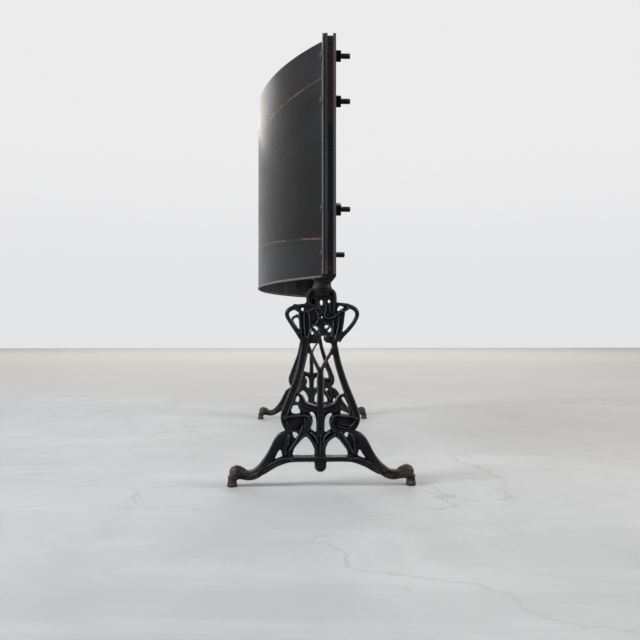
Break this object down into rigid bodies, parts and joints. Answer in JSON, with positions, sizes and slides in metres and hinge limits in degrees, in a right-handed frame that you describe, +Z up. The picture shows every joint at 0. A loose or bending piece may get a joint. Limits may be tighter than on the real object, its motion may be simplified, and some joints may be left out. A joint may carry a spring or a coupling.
{
  "type": "etching press",
  "caption": "Upright etching press: bowed sheet-iron platen bolted by clamp strips in a channel frame on pierced cast-iron end frames.",
  "frame": {"origin": "on the floor at the middle of the footprint, midway between the two end frames", "axes": "+Z up; +Y from the near end frame to the far one; +X to the flat side with the nuts, -X to the bowed side"},
  "size_m": [0.4156, 1.043, 0.99],
  "materials": {
    "cast_iron": "black lacquer over cast iron, worn brown at the feet",
    "channel_steel": "blue-black paint on rolled steel, rust breaking through",
    "black_bolt_steel": "blackened steel",
    "rail_steel": "black paint",
    "stained_board": "dark stained board",
    "japanned_sheet": "satin black japanning with a thin bronze line",
    "bead_iron": "worn black iron wire edge",
    "clamp_strip_steel": "worn flat steel strip",
    "rusted_screw_steel": "rusted steel",
    "rusted_nut_steel": "rust brown on black steel"
  },
  "bodies": {
    "frame": {"near_end_frame": "cast_iron", "far_end_frame": "cast_iron", "near_post": "channel_steel", "far_post": "channel_steel", "near_seat_stud": "black_bolt_steel", "far_seat_stud": "black_bolt_steel", "bottom_rail": "rail_steel", "top_rail": "rail_steel", "near_bottom_rail_screw": "rusted_screw_steel", "near_top_rail_screw": "rusted_screw_steel", "far_bottom_rail_screw": "rusted_screw_steel", "far_top_rail_screw": "rusted_screw_steel", "backing_board": "stained_board", "board_screw_1": "rusted_screw_steel", "board_screw_2": "rusted_screw_steel", "board_screw_3": "rusted_screw_steel", "board_screw_4": "rusted_screw_steel", "board_screw_5": "rusted_screw_steel", "board_screw_6": "rusted_screw_steel", "bowed_platen": "japanned_sheet", "bottom_rim_bead": "bead_iron"},
    "near_clamp": {"near_clamp_strip": "clamp_strip_steel", "near_bolt_1": "black_bolt_steel", "near_bolt_2": "black_bolt_steel", "near_bolt_3": "black_bolt_steel", "near_bolt_4": "black_bolt_steel"},
    "near_nut_2": {"near_nut_2": "rusted_nut_steel"},
    "near_nut_3": {"near_nut_3": "rusted_nut_steel"},
    "near_nut_4": {"near_nut_4": "rusted_nut_steel"},
    "far_clamp": {"far_clamp_strip": "clamp_strip_steel", "far_bolt_1": "black_bolt_steel", "far_bolt_2": "black_bolt_steel", "far_bolt_3": "black_bolt_steel", "far_bolt_4": "black_bolt_steel"},
    "far_nut_1": {"far_nut_1": "rusted_nut_steel"},
    "far_nut_2": {"far_nut_2": "rusted_nut_steel"},
    "far_nut_3": {"far_nut_3": "rusted_nut_steel"},
    "far_nut_4": {"far_nut_4": "rusted_nut_steel"}
  },
  "joints": [
    {"name": "near_nut_2_spin", "type": "hinge", "parent": "frame", "child": "near_nut_2", "pos_m": [0.0307, -0.498, 0.608], "axis": [1, 0, 0], "range_deg": [0, 1020]},
    {"name": "near_nut_3_spin", "type": "hinge", "parent": "frame", "child": "near_nut_3", "pos_m": [0.0307, -0.498, 0.848], "axis": [1, 0, 0], "range_deg": [0, 1020]},
    {"name": "near_nut_4_spin", "type": "hinge", "parent": "frame", "child": "near_nut_4", "pos_m": [0.0307, -0.498, 0.949], "axis": [1, 0, 0], "range_deg": [0, 1020]},
    {"name": "near_clamp_slide", "type": "slide", "parent": "frame", "child": "near_clamp", "axis": [-1, 0, 0], "range_m": [0, 0.006]},
    {"name": "far_nut_1_spin", "type": "hinge", "parent": "frame", "child": "far_nut_1", "pos_m": [0.0307, 0.498, 0.507], "axis": [1, 0, 0], "range_deg": [0, 1020]},
    {"name": "far_nut_2_spin", "type": "hinge", "parent": "frame", "child": "far_nut_2", "pos_m": [0.0307, 0.498, 0.608], "axis": [1, 0, 0], "range_deg": [0, 1020]},
    {"name": "far_nut_3_spin", "type": "hinge", "parent": "frame", "child": "far_nut_3", "pos_m": [0.0307, 0.498, 0.848], "axis": [1, 0, 0], "range_deg": [0, 1020]},
    {"name": "far_nut_4_spin", "type": "hinge", "parent": "frame", "child": "far_nut_4", "pos_m": [0.0307, 0.498, 0.949], "axis": [1, 0, 0], "range_deg": [0, 1020]},
    {"name": "far_clamp_slide", "type": "slide", "parent": "frame", "child": "far_clamp", "axis": [-1, 0, 0], "range_m": [0, 0.006]}
  ],
  "couplings": [
    {"joint": "near_nut_3_spin", "follows": "near_nut_2_spin", "ratio": 1},
    {"joint": "near_nut_4_spin", "follows": "near_nut_2_spin", "ratio": 1},
    {"joint": "near_clamp_slide", "follows": "near_nut_2_spin", "m_per_rad": 0.00033693},
    {"joint": "far_nut_2_spin", "follows": "far_nut_1_spin", "ratio": 1},
    {"joint": "far_nut_3_spin", "follows": "far_nut_1_spin", "ratio": 1},
    {"joint": "far_nut_4_spin", "follows": "far_nut_1_spin", "ratio": 1},
    {"joint": "far_clamp_slide", "follows": "far_nut_1_spin", "m_per_rad": 0.00033693}
  ]
}
